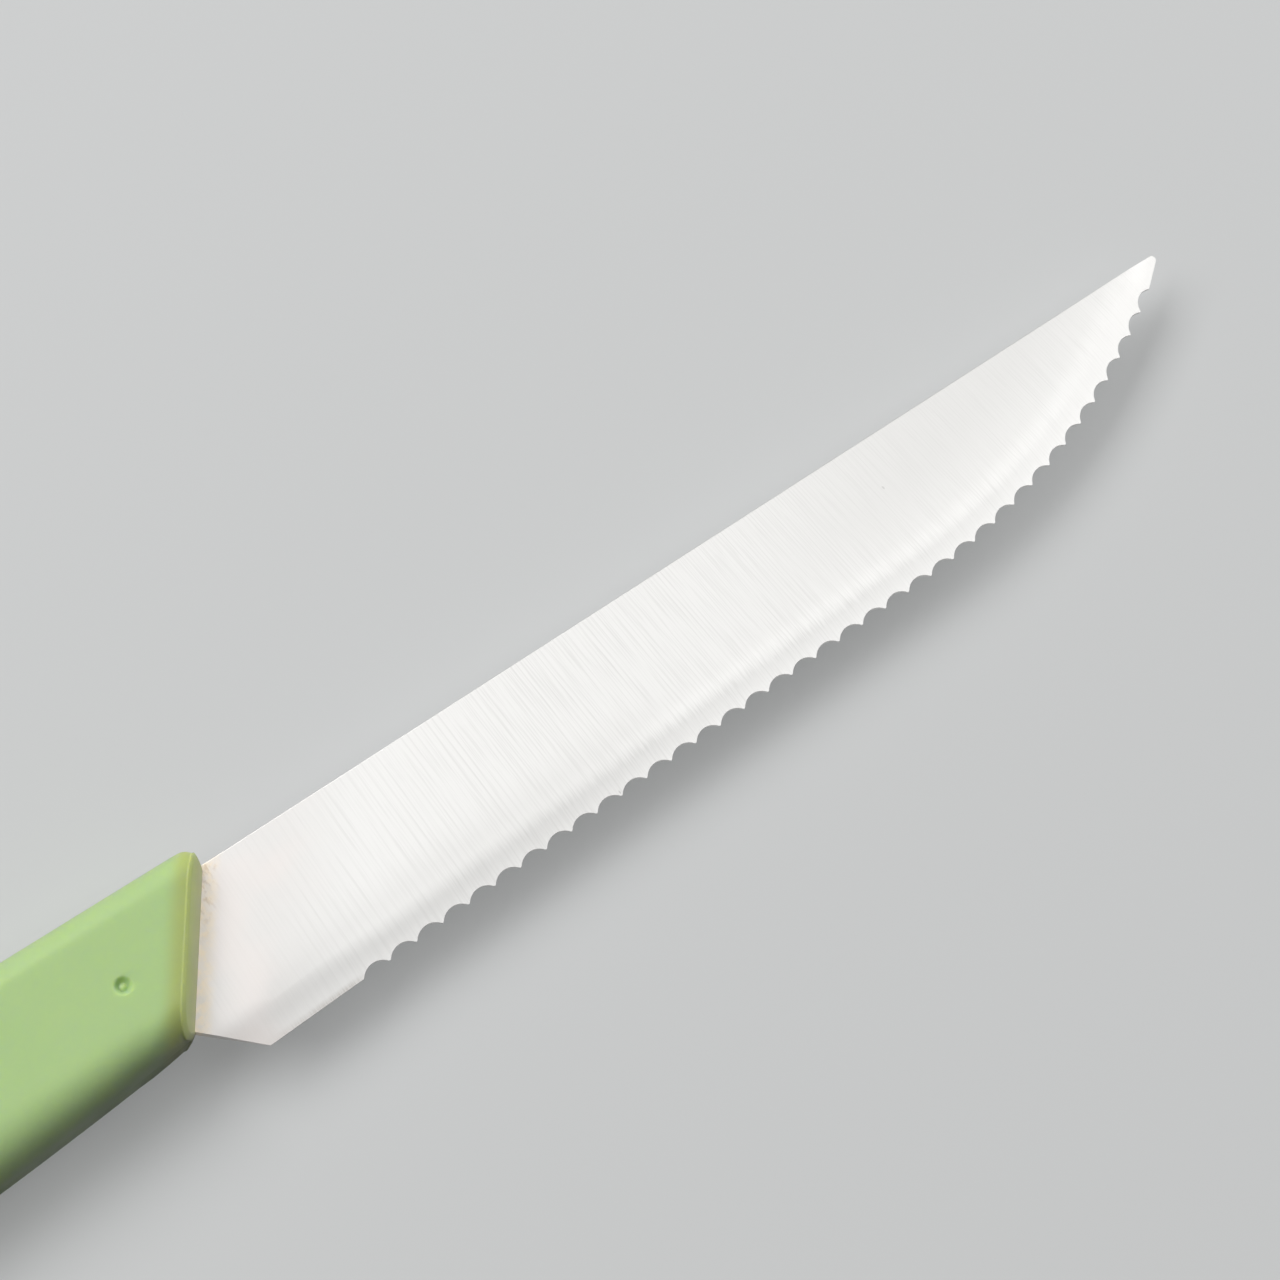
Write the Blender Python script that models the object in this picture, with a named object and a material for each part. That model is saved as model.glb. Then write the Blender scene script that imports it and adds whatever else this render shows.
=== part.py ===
"""Serrated steak knife: a ground steel blade whose tang is held in a moulded plastic handle.

The knife lies on the flat side of its handle: +X runs to the tip, +Y to the spine and +Z up. The origin is
the centre of the handle's flat underside. Both pieces are drawn round one point, the place where the spine
leaves the handle, in the middle of the blade's thickness.
"""
import math

import bmesh
import bpy
from mathutils import Vector

MM = 0.001

# Blade, side view
BLADE_LENGTH = 118.1 * MM  # from the handle along the spine, to the tip before it is blunted
HEEL_DEPTH = 17.3 * MM  # spine to heel corner
HEEL_SETBACK = 4.4 * MM  # heel corner, behind the place where the spine leaves the handle
EDGE_TAPER = math.radians(1.5)  # slope of the straight edge, rising towards the tip
BELLY_RADIUS = 78.5 * MM
BELLY_OVERRUN = 0.4 * MM  # how far past the tip the belly's arc would meet the spine
TIP_RADIUS = 0.4 * MM

# Blade, section
BLADE_THICKNESS = 1.2 * MM
EDGE_THICKNESS = 0.25 * MM
BEVEL_WIDTH = 2.6 * MM  # ground band on both sides of the edge

# Serration: hollow scallops side by side, from near the heel to near the tip
PLAIN_HEEL = 10.25 * MM
PLAIN_POINT = 4.0 * MM  # least plain edge behind the tip
SCALLOP_PITCH = 3.0 * MM
SCALLOP_DEPTH = 0.73 * MM
SCALLOP_STEPS = 6

# Tang, hidden in the handle
TANG_END_COVER = 16.0 * MM  # plastic behind the end of the tang
TANG_UNDER_COVER = 2.2 * MM  # plastic under the tang, at the front
STEEL_UNDER_COVER = 0.5 * MM  # plastic under the blade where its lower corner enters the handle
TANG_DROP = 1.6 * MM  # top of the tang below the spine
TANG_SHOULDER = 4.0 * MM  # how far the full blade goes into the handle at the spine
TANG_END_RADIUS = 2.5 * MM
TANG_HOLE_RADIUS = 2.2 * MM
TANG_HOLE_FIRST = 22.0 * MM  # first hole, behind the front of the handle
TANG_HOLE_LAST = 14.0 * MM  # last hole, from the end of the tang
TANG_HOLES = 3
FIT_GAP = 0.3 * MM  # between the steel and the plastic round it

# Handle
HANDLE_LENGTH = 108.0 * MM  # butt to the place where the spine leaves the handle
HANDLE_THICKNESS = 11.0 * MM
HANDLE_TOP = 1.45 * MM  # top line above the spine, at the front
HANDLE_CROWN = 0.6 * MM  # extra rise of the top line at mid length
HANDLE_NECK = 12.85 * MM  # bottom line below the spine, at the front
HANDLE_SWELL = 2.6 * MM  # how much deeper the palm is than the neck
HANDLE_SWELL_LENGTH = 50.0 * MM  # neck to the full depth of the palm
TOP_ROUNDING = 2.6 * MM  # radius along the top
NECK_ROUNDING = 3.1 * MM  # radius along the bottom, at the neck
PALM_ROUNDING = 4.8 * MM  # radius along the bottom, from the palm back
LARGEST_ROUNDING = 0.45  # share of a section's depth, so that the two radii don't meet at the butt
FRONT_SLANT = math.radians(36.0)  # lean of the front end, its top forward
FRONT_DRAFT = math.radians(12.0)  # slope of the front end back from the blade
FRONT_ROLL_RADIUS = 5.5 * MM  # how the side turns down towards the front end
FRONT_ROLL_RUN = 2.7 * MM
FRONT_TOP_CORNER = 1.5 * MM
FRONT_BOTTOM_CORNER = 0.5 * MM
BUTT_CORNER = 6.5 * MM
BUTT_ROUNDING = 3.0 * MM

# Dimple left by the mould on the upper side
DIMPLE_SETBACK = 12.7 * MM
DIMPLE_DROP = 6.5 * MM  # below the spine
DIMPLE_RADIUS = 0.85 * MM
DIMPLE_DEPTH = 0.6 * MM

# How finely rounded shapes are divided
ROUNDING_STEPS = 6
FRONT_ROLL_STEPS = 7
BODY_STATIONS = 14
BUTT_STEPS = 8
CIRCLE_SIDES = 32

STEEL = (0.60, 0.59, 0.57, 1.0)
GREEN_PLASTIC = (0.39, 0.55, 0.24, 1.0)


def clear_scene():
    for item in list(bpy.data.objects):
        bpy.data.objects.remove(item, do_unlink=True)


def make_material(name, colour, roughness, metallic):
    material = bpy.data.materials.new(name)
    material.use_nodes = True
    shader = material.node_tree.nodes["Principled BSDF"]
    shader.inputs["Base Color"].default_value = colour
    shader.inputs["Roughness"].default_value = roughness
    shader.inputs["Metallic"].default_value = metallic
    material.diffuse_color = colour
    return material


def make_object(name, builder, parent):
    """Turn a filled bmesh into a named object hung on its parent."""
    bmesh.ops.recalc_face_normals(builder, faces=builder.faces)
    mesh = bpy.data.meshes.new(name)
    builder.to_mesh(mesh)
    builder.free()
    item = bpy.data.objects.new(name, mesh)
    bpy.context.scene.collection.objects.link(item)
    item.parent = parent
    return item


def make_cutter(name, builder, parent):
    item = make_object(name, builder, parent)
    item.hide_render = True
    item.display_type = "WIRE"
    return item


def combine(item, tool, operation):
    step = item.modifiers.new(tool.name, "BOOLEAN")
    step.operation = operation
    step.solver = "EXACT"
    step.object = tool


def shade_round(item, angle):
    item.data.shade_smooth()
    item.data.set_sharp_from_angle(angle=angle)


def extrude_outline(outline, low, high):
    """Closed plate between two heights, from a side-view outline."""
    builder = bmesh.new()
    lower = [builder.verts.new((x, y, low)) for x, y in outline]
    base = builder.faces.new(lower)
    grown = bmesh.ops.extrude_face_region(builder, geom=[base])
    raised = [part for part in grown["geom"] if isinstance(part, bmesh.types.BMVert)]
    bmesh.ops.translate(builder, verts=raised, vec=(0, 0, high - low))
    return builder


def add_cylinder(builder, x, y, radius, low, high):
    ring = bmesh.ops.create_cone(
        builder,
        cap_ends=True,
        segments=CIRCLE_SIDES,
        radius1=radius,
        radius2=radius,
        depth=high - low,
    )
    bmesh.ops.translate(builder, verts=ring["verts"], vec=(x, y, (low + high) / 2))


# Directions of the handle's front end, in side view: up along it, and straight back from it
FRONT_UP = Vector((math.sin(FRONT_SLANT), math.cos(FRONT_SLANT)))
FRONT_BACK = Vector((-math.cos(FRONT_SLANT), math.sin(FRONT_SLANT)))

# The blade's edge, measured along from the heel corner
HEEL = Vector((-HEEL_SETBACK, -HEEL_DEPTH))
ALONG_EDGE = Vector((math.cos(EDGE_TAPER), math.sin(EDGE_TAPER)))
FROM_EDGE = Vector((-ALONG_EDGE.y, ALONG_EDGE.x))


def straight_length():
    """Straight run of edge, ending where an arc that touches it can still reach the tip."""
    goal = Vector((BLADE_LENGTH + BELLY_OVERRUN, 0)) - HEEL
    rise = goal.dot(FROM_EDGE)
    return goal.dot(ALONG_EDGE) - math.sqrt(2 * BELLY_RADIUS * rise - rise * rise)


def edge_point(distance):
    """Point on the unserrated edge: a straight run, then the belly's arc."""
    straight = straight_length()
    if distance <= straight:
        return HEEL + distance * ALONG_EDGE
    turned = (distance - straight) / BELLY_RADIUS
    centre = HEEL + straight * ALONG_EDGE + BELLY_RADIUS * FROM_EDGE
    return centre + BELLY_RADIUS * (math.sin(turned) * ALONG_EDGE - math.cos(turned) * FROM_EDGE)


def edge_length():
    """Length of edge up to where the belly's arc would meet the spine."""
    rise = (Vector((BLADE_LENGTH + BELLY_OVERRUN, 0)) - HEEL).dot(FROM_EDGE)
    return straight_length() + BELLY_RADIUS * math.acos(1 - rise / BELLY_RADIUS)


def scallop_count():
    return int((edge_length() - PLAIN_HEEL - PLAIN_POINT) / SCALLOP_PITCH)


def last_tooth():
    return PLAIN_HEEL + scallop_count() * SCALLOP_PITCH


def scallop_arc(start):
    """Points of one hollow, without its last one, which the next hollow or the point begins with."""
    first = edge_point(start)
    second = edge_point(start + SCALLOP_PITCH)
    along = (second - first).normalized()
    inward = Vector((-along.y, along.x))
    half = (second - first).length / 2
    radius = (half * half + SCALLOP_DEPTH * SCALLOP_DEPTH) / (2 * SCALLOP_DEPTH)
    reach = math.asin(half / radius)
    centre = (first + second) / 2 - inward * (radius - SCALLOP_DEPTH)
    points = []
    for step in range(SCALLOP_STEPS):
        turn = reach * (2 * step / SCALLOP_STEPS - 1)
        points.append(centre + radius * (math.sin(turn) * along + math.cos(turn) * inward))
    return points


def tip_points():
    """The blunted point, as an arc from the edge round to the spine."""
    tooth = edge_point(last_tooth())
    tip = Vector((BLADE_LENGTH, 0))
    to_tooth = (tooth - tip).normalized()
    to_heel = Vector((-1, 0))
    inward = (to_tooth + to_heel).normalized()
    half = to_tooth.angle(to_heel) / 2
    centre = tip + inward * TIP_RADIUS / math.sin(half)
    setback = TIP_RADIUS / math.tan(half)
    return [tip + to_tooth * setback, centre - inward * TIP_RADIUS, tip + to_heel * setback]


def choil_point(height):
    """Point on the cut that runs from the heel corner up into the handle, at a height."""
    entry = -(HANDLE_NECK - STEEL_UNDER_COVER) / FRONT_UP.y * FRONT_UP
    return HEEL + (entry - HEEL) * (height + HEEL_DEPTH) / (entry.y + HEEL_DEPTH)


def tang_outline():
    """Corners of the hidden steel, from under the blade round its end to the spine."""
    bottom = TANG_UNDER_COVER - HANDLE_NECK
    top = -TANG_DROP
    points = [choil_point(bottom)]
    end = TANG_END_COVER - HANDLE_LENGTH + TANG_END_RADIUS
    for centre_y, first_turn in ((bottom + TANG_END_RADIUS, 1.5), (top - TANG_END_RADIUS, 1.0)):
        for step in range(ROUNDING_STEPS + 1):
            turn = math.pi * (first_turn - 0.5 * step / ROUNDING_STEPS)
            points.append(Vector((end, centre_y)) + TANG_END_RADIUS * Vector((math.cos(turn), math.sin(turn))))
    points.append(Vector((-TANG_SHOULDER - TANG_DROP, top)))
    points.append(Vector((-TANG_SHOULDER, 0)))
    return points


def blade_outline():
    """Whole steel outline: heel, serrated edge, tip, spine and tang."""
    points = [HEEL]
    for index in range(scallop_count()):
        points += scallop_arc(PLAIN_HEEL + index * SCALLOP_PITCH)
    points.append(edge_point(last_tooth()))
    points += tip_points()
    points += reversed(tang_outline())
    return points


def grind_cutter(parent):
    """Wedge swept along the edge, which leaves the ground band; its mirror leaves the other one.

    Round the belly it turns once in each hollow, clear of the corners of the outline.
    """
    beyond = 8.0 * MM
    spare = 1.0 * MM
    place_in_hollow = 0.4 * SCALLOP_PITCH
    path = [HEEL - beyond * ALONG_EDGE]
    for index in range(scallop_count()):
        distance = PLAIN_HEEL + index * SCALLOP_PITCH + place_in_hollow
        if distance > straight_length():
            path.append(edge_point(distance))
    tip = Vector((BLADE_LENGTH, 0))
    path.append(tip + beyond * (tip - path[-1]).normalized())
    slope = (BLADE_THICKNESS - EDGE_THICKNESS) / 2 / BEVEL_WIDTH
    low = EDGE_THICKNESS / 2
    section = [
        (-spare, low - spare * slope),
        (BEVEL_WIDTH + spare, BLADE_THICKNESS / 2 + spare * slope),
        (BEVEL_WIDTH + spare, BLADE_THICKNESS / 2 + 2 * spare),
        (-spare, BLADE_THICKNESS / 2 + 2 * spare),
    ]
    builder = bmesh.new()
    rings = []
    for index, point in enumerate(path):
        before = path[max(index - 1, 0)]
        after = path[min(index + 1, len(path) - 1)]
        along = (after - before).normalized()
        inward = Vector((-along.y, along.x))
        rings.append([builder.verts.new((*(point + inward * across), up)) for across, up in section])
    for ring, following in zip(rings, rings[1:]):
        for corner in range(len(section)):
            after = (corner + 1) % len(section)
            builder.faces.new((ring[corner], ring[after], following[after], following[corner]))
    builder.faces.new(rings[0])
    builder.faces.new(reversed(rings[-1]))
    cutter = make_cutter("grind_guide", builder, parent)
    mirror = cutter.modifiers.new("both_sides", "MIRROR")
    mirror.use_axis = (False, False, True)
    mirror.merge_threshold = 0.00001
    return cutter


def tang_hole_places():
    """Centres of the holes, evenly spaced along the middle of the tang."""
    middle = (TANG_UNDER_COVER - HANDLE_NECK - TANG_DROP) / 2
    last = TANG_END_COVER + TANG_HOLE_LAST - HANDLE_LENGTH
    spacing = (last + TANG_HOLE_FIRST) / (TANG_HOLES - 1)
    return [(spacing * index - TANG_HOLE_FIRST, middle) for index in range(TANG_HOLES)]


def hole_cutter(parent):
    builder = bmesh.new()
    for x, y in tang_hole_places():
        add_cylinder(builder, x, y, TANG_HOLE_RADIUS, -BLADE_THICKNESS, BLADE_THICKNESS)
    return make_cutter("tang_hole_guide", builder, parent)


def make_blade(parent):
    plate = extrude_outline(blade_outline(), -BLADE_THICKNESS / 2, BLADE_THICKNESS / 2)
    blade = make_object("blade", plate, parent)
    blade.data.materials.append(make_material("ground_steel", STEEL, 0.32, 1.0))
    combine(blade, grind_cutter(parent), "DIFFERENCE")
    combine(blade, hole_cutter(parent), "DIFFERENCE")
    return blade


# The handle: slanted sections from its front end back to its butt

def top_line(x):
    share = min(max(-x / HANDLE_LENGTH, 0), 1)
    return HANDLE_TOP + HANDLE_CROWN * math.sin(math.pi * share)


def palm_share(x):
    """0 at the neck, easing up to 1 where the palm has its full depth."""
    neck = -HANDLE_NECK * math.tan(FRONT_SLANT)
    left = 1 - min(max((neck - x) / HANDLE_SWELL_LENGTH, 0), 1)
    return 1 - left * left


def bottom_line(x):
    return -HANDLE_NECK - HANDLE_SWELL * palm_share(x)


def bottom_rounding(x):
    return NECK_ROUNDING + (PALM_ROUNDING - NECK_ROUNDING) * palm_share(x)


def corner_cut(setback, radius, opening):
    """What a rounded corner takes off a slanted section that lies a setback behind the front.

    opening is the angle of the corner, between the front end and the top or bottom line.
    """
    if setback >= radius * (1 + math.cos(opening)):
        return 0.0
    sharp = -setback / math.tan(opening)
    rounded = math.sqrt(radius * radius - (radius - setback) ** 2) - radius / math.tan(opening / 2)
    return sharp - rounded


def line_crossing(setback, line):
    """Where a slanted section meets the top or bottom line, measured up along the section."""
    reach = 0.0
    for _ in range(8):
        x = (setback * FRONT_BACK + reach * FRONT_UP).x
        reach = (line(x) - setback * FRONT_BACK.y) / FRONT_UP.y
    return reach


def front_chord(setback):
    """Ends of the section that lies a setback behind the front end, parallel to it."""
    low = line_crossing(setback, bottom_line)
    low += corner_cut(setback, FRONT_BOTTOM_CORNER, math.pi / 2 + FRONT_SLANT)
    high = line_crossing(setback, top_line)
    high -= corner_cut(setback, FRONT_TOP_CORNER, math.pi / 2 - FRONT_SLANT)
    return setback * FRONT_BACK + low * FRONT_UP, setback * FRONT_BACK + high * FRONT_UP


def section_profile(half, low_radius, high_radius):
    """Half section as (end, distance from that end, height), from the bottom up and over to the top."""
    profile = [(0, 0.0, 0.0)]
    for end, radius in ((0, low_radius), (1, high_radius)):
        arc = []
        for step in range(ROUNDING_STEPS + 1):
            turn = math.pi / 2 * step / ROUNDING_STEPS
            arc.append((end, radius * (1 - math.cos(turn)), half - radius + radius * math.sin(turn)))
        profile += arc if end == 0 else reversed(arc)
    profile.append((1, 0.0, 0.0))
    return profile


def place_section(chord, half):
    """Points of a half section on a chord from the bottom line to the top line."""
    low, high = chord
    depth = high.y - low.y
    along = (high - low) / depth
    largest = min(half, LARGEST_ROUNDING * depth)
    profile = section_profile(half, min(bottom_rounding(low.x), largest), min(TOP_ROUNDING, largest))
    points = []
    for end, distance, height in profile:
        base = low + along * distance if end == 0 else high - along * distance
        points.append(Vector((base.x, base.y, height)))
    return points


def front_half(left):
    """Half thickness where the side turns down towards the front end, with some of that run left."""
    return HANDLE_THICKNESS / 2 - FRONT_ROLL_RADIUS + math.sqrt(FRONT_ROLL_RADIUS**2 - left**2)


def rim_setback():
    """How far back the draft puts the rim of the front end."""
    return front_half(FRONT_ROLL_RUN) * math.tan(FRONT_DRAFT)


def front_sections():
    """The drafted rim of the front end, then the sections where the side rolls over."""
    rim = []
    for end, distance, height in section_profile(front_half(FRONT_ROLL_RUN), NECK_ROUNDING, TOP_ROUNDING):
        low, high = front_chord(height * math.tan(FRONT_DRAFT))
        along = FRONT_UP * distance / FRONT_UP.y
        base = low + along if end == 0 else high - along
        rim.append(Vector((base.x, base.y, height)))
    sections = [rim]
    for step in range(1, FRONT_ROLL_STEPS + 1):
        done = FRONT_ROLL_RUN * step / FRONT_ROLL_STEPS
        sections.append(place_section(front_chord(rim_setback() + done), front_half(FRONT_ROLL_RUN - done)))
    return sections


def quarter_drop(distance, radius):
    """How far a quarter round has fallen away, at a distance from the end of the piece."""
    left = max(radius - distance, 0)
    return radius - math.sqrt(radius * radius - left * left)


def rear_sections():
    """Sections that straighten up towards the butt, which is rounded both ways."""
    low, high = front_chord(rim_setback() + FRONT_ROLL_RUN)
    butt_start = 1 - BUTT_CORNER / HANDLE_LENGTH
    shares = [butt_start * step / BODY_STATIONS for step in range(1, BODY_STATIONS + 1)]
    for step in range(1, BUTT_STEPS + 1):
        turn = math.pi / 2 * step / BUTT_STEPS
        shares.append(1 - (1 - butt_start) * (1 - math.sin(turn)))
    sections = []
    for share in shares:
        low_x = low.x + (-HANDLE_LENGTH - low.x) * share
        high_x = high.x + (-HANDLE_LENGTH - high.x) * share
        to_end = HANDLE_LENGTH * (1 - share)
        corner = quarter_drop(to_end, BUTT_CORNER)
        half = HANDLE_THICKNESS / 2 - quarter_drop(to_end, BUTT_ROUNDING)
        chord = (Vector((low_x, bottom_line(low_x) + corner)), Vector((high_x, top_line(high_x) - corner)))
        sections.append(place_section(chord, half))
    return sections


def tang_cavity_cutter(parent):
    """The hidden steel grown by the fit gap, open through the front end."""
    ahead = 2.0 * MM
    corners = tang_outline() + [Vector((ahead, 0)), Vector((ahead, -HEEL_DEPTH)), HEEL]
    grown = []
    for index, corner in enumerate(corners):
        before = (corner - corners[index - 1]).normalized()
        after = (corners[(index + 1) % len(corners)] - corner).normalized()
        outward = Vector((before.y + after.y, -before.x - after.x))
        share = FIT_GAP / (1 + before.dot(after))
        grown.append(corner - outward * share)
    reach = BLADE_THICKNESS / 2 + FIT_GAP
    return make_cutter("tang_cavity_guide", extrude_outline(grown, -reach, reach), parent)


def peg_tool(parent):
    """Plastic that fills the tang's holes and ties the two sides of the handle together."""
    builder = bmesh.new()
    reach = HANDLE_THICKNESS / 4
    for x, y in tang_hole_places():
        add_cylinder(builder, x, y, TANG_HOLE_RADIUS - FIT_GAP, -reach, reach)
    return make_cutter("peg_guide", builder, parent)


def dimple_cutter(parent):
    builder = bmesh.new()
    top = HANDLE_THICKNESS / 2
    add_cylinder(
        builder,
        -DIMPLE_SETBACK,
        -DIMPLE_DROP,
        DIMPLE_RADIUS,
        top - DIMPLE_DEPTH,
        top + DIMPLE_DEPTH,
    )
    return make_cutter("dimple_guide", builder, parent)


def make_handle(parent):
    builder = bmesh.new()
    rows = [[builder.verts.new(point) for point in section] for section in front_sections() + rear_sections()]
    for row, following in zip(rows, rows[1:]):
        for index in range(len(row) - 1):
            builder.faces.new((row[index], row[index + 1], following[index + 1], following[index]))
    builder.faces.new(rows[0])
    builder.faces.new(rows[-1])
    handle = make_object("handle", builder, parent)
    handle.data.materials.append(make_material("green_plastic", GREEN_PLASTIC, 0.45, 0.0))
    shade_round(handle, math.radians(30))
    mirror = handle.modifiers.new("both_sides", "MIRROR")
    mirror.use_axis = (False, False, True)
    mirror.merge_threshold = 0.00001
    combine(handle, tang_cavity_cutter(parent), "DIFFERENCE")
    combine(handle, peg_tool(parent), "UNION")
    combine(handle, dimple_cutter(parent), "DIFFERENCE")
    return handle


def main():
    clear_scene()
    junction = bpy.data.objects.new("spine_at_handle", None)
    bpy.context.scene.collection.objects.link(junction)
    middle = -HANDLE_LENGTH / 2
    junction.location = (-middle, -(top_line(middle) + bottom_line(middle)) / 2, HANDLE_THICKNESS / 2)
    make_blade(junction)
    make_handle(junction)


main()
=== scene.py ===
import math

import bmesh
import bpy
from mathutils import Matrix, Vector


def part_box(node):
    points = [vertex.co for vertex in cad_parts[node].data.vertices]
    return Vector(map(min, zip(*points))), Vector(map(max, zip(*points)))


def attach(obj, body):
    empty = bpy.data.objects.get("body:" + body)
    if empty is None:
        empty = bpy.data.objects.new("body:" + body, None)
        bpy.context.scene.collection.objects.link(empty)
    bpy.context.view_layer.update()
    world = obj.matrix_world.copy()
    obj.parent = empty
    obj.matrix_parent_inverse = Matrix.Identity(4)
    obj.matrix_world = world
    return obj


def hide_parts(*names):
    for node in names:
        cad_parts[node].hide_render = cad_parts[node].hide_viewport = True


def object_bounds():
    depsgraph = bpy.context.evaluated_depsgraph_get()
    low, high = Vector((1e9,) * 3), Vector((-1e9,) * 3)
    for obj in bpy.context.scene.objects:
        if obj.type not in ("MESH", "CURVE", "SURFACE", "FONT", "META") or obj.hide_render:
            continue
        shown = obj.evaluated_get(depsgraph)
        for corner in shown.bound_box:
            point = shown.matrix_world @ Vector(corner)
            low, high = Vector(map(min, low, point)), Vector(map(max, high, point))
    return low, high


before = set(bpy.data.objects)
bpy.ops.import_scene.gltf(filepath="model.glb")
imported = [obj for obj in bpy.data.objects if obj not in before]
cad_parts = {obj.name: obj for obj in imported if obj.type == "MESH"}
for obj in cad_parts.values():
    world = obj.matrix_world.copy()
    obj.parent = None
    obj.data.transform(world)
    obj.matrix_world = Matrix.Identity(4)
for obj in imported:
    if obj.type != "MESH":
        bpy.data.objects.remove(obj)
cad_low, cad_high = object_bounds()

# The blade: one strip of stainless steel, stamped to shape together with its tang, ground across on both
# sides, then ground hollow along the edge. A profiled wheel cuts the row of round hollows last. The tang
# has three holes that the plastic of the handle fills.

MM = 0.001
WELD_DISTANCE = 0.0005 * MM  # points closer than this become one
ROUND_STEPS = 64  # sides of a full circle
HANDLE_LENGTH = 108.0 * MM
blade_low, blade_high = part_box("blade")
handle_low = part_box("handle")[0]

# Everything is drawn from the place where the spine leaves the handle, in the middle of the steel
JUNCTION = Vector((handle_low.x + HANDLE_LENGTH, blade_high.y, (blade_low.z + blade_high.z) / 2))

BLADE_LENGTH = 118.1 * MM
HEEL = Vector((-4.4 * MM, -17.3 * MM))
EDGE_TAPER = math.radians(1.5)
BELLY_RADIUS = 78.5 * MM
BELLY_OVERRUN = 0.4 * MM
TIP_RADIUS = 0.42 * MM  # a hair rounder than the solid's, so that this finer arc stays in the solid's box
BLADE_THICKNESS = 1.2 * MM
EDGE_THICKNESS = 0.25 * MM
BAND_WIDTH = 2.6 * MM
BAND_WIDTH_AT_HEEL = 3.2 * MM
BAND_RUN_IN = 16.0 * MM  # from the heel to the even width of the ground band
SPINE_BREAK = 0.08 * MM  # width of the broken corner along the outline of the stamping
BLADE_CREASE = math.radians(30)  # a sharper turn than this shows as an edge

PLAIN_HEEL = 10.25 * MM
PLAIN_POINT = 4.0 * MM
SCALLOP_PITCH = 3.0 * MM
SCALLOP_DEPTH = 0.73 * MM
TOOTH_LAND = 0.14 * MM  # blunt tip left between two hollows
STEPS_PER_SCALLOP = 24
HOLLOW_GRIND = 0.40  # how far the band bows inward, from 0 for a flat bevel
BAND_BLEND = 0.30 * MM

TANG_END_COVER = 16.0 * MM
TANG_DROP = 1.6 * MM
TANG_BOTTOM = -10.65 * MM
TANG_SHOULDER = 4.0 * MM
TANG_BOTTOM_SETBACK = 8.4 * MM  # from the shoulder back to the tang's last column, on its lower side
TANG_END_RADIUS = 2.5 * MM
TANG_HOLE_RADIUS = 2.2 * MM
TANG_HOLE_FIRST = 22.0 * MM
TANG_HOLE_LAST = 14.0 * MM
TANG_HOLES = 3

# The handle's front end leans forward at its top, and the steel enters it along that slant
FRONT_SLANT = math.radians(36.0)
FRONT_UP = Vector((math.sin(FRONT_SLANT), math.cos(FRONT_SLANT)))
FRONT_BACK = Vector((-math.cos(FRONT_SLANT), math.sin(FRONT_SLANT)))

ALONG_EDGE = Vector((math.cos(EDGE_TAPER), math.sin(EDGE_TAPER)))
FROM_EDGE = Vector((-ALONG_EDGE.y, ALONG_EDGE.x))
BELLY_END = Vector((BLADE_LENGTH + BELLY_OVERRUN, 0)) - HEEL
BELLY_RISE = BELLY_END.dot(FROM_EDGE)
STRAIGHT_EDGE = BELLY_END.dot(ALONG_EDGE) - math.sqrt(2 * BELLY_RADIUS * BELLY_RISE - BELLY_RISE**2)
EDGE_LENGTH = STRAIGHT_EDGE + BELLY_RADIUS * math.acos(1 - BELLY_RISE / BELLY_RADIUS)
BELLY_CENTRE = HEEL + STRAIGHT_EDGE * ALONG_EDGE + BELLY_RADIUS * FROM_EDGE
SCALLOPS = int((EDGE_LENGTH - PLAIN_HEEL - PLAIN_POINT) / SCALLOP_PITCH)
LAST_TOOTH = PLAIN_HEEL + SCALLOPS * SCALLOP_PITCH
TIP = Vector((BLADE_LENGTH, 0))


# What the grinding has to know about each point of the sheet
SHEET_FACTS = ("from_heel", "from_edge", "share", "band", "corner_drop", "inward")


def edge_place(distance):
    """Point on the edge before it is serrated, and the direction inward from it."""
    turned = max(distance - STRAIGHT_EDGE, 0) / BELLY_RADIUS
    if turned == 0:
        return HEEL + distance * ALONG_EDGE, FROM_EDGE
    outward = math.sin(turned) * ALONG_EDGE - math.cos(turned) * FROM_EDGE
    return BELLY_CENTRE + BELLY_RADIUS * outward, -outward


PLAIN_START = edge_place(LAST_TOOTH)[0]
PLAIN_ALONG = (TIP - PLAIN_START).normalized()
PLAIN_INWARD = Vector((-PLAIN_ALONG.y, PLAIN_ALONG.x))


def from_edge(point):
    """Distance of a point from the unserrated edge, measured square to it."""
    along = (point - HEEL).dot(ALONG_EDGE)
    if along <= STRAIGHT_EDGE:
        return (point - HEEL).dot(FROM_EDGE)
    if (point - PLAIN_START).dot(PLAIN_ALONG) > 0:
        return (point - PLAIN_START).dot(PLAIN_INWARD)
    return BELLY_RADIUS - (point - BELLY_CENTRE).length


def spine_over(point, lean):
    """Where a line up from a point, leaning forward by an angle, reaches the spine."""
    return Vector((point.x - point.y * math.tan(lean), 0))


def tang_columns():
    """Pairs of lower and upper outline points from the end of the tang to the blade's shoulder."""
    end = TANG_END_COVER - HANDLE_LENGTH
    corner_steps = 8
    pairs = []
    for step in range(corner_steps + 1):
        turn = math.pi / 2 * step / corner_steps
        x = end + TANG_END_RADIUS * (1 - math.cos(turn))
        inset = TANG_END_RADIUS * (1 - math.sin(turn))
        pairs.append((Vector((x, TANG_BOTTOM + inset)), Vector((x, -TANG_DROP - inset))))
    low, high = pairs[-1]
    low_end = Vector((-TANG_SHOULDER - TANG_BOTTOM_SETBACK, TANG_BOTTOM))
    high_end = Vector((-TANG_SHOULDER - TANG_DROP, -TANG_DROP))
    steps = 40
    for step in range(1, steps + 1):
        pairs.append((low.lerp(low_end, step / steps), high.lerp(high_end, step / steps)))
    return pairs


# How far down the handle's plastic reaches at the front, and how little of it lies under the steel there
HANDLE_NECK = 12.85 * MM
STEEL_UNDER_COVER = 0.2 * MM


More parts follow.
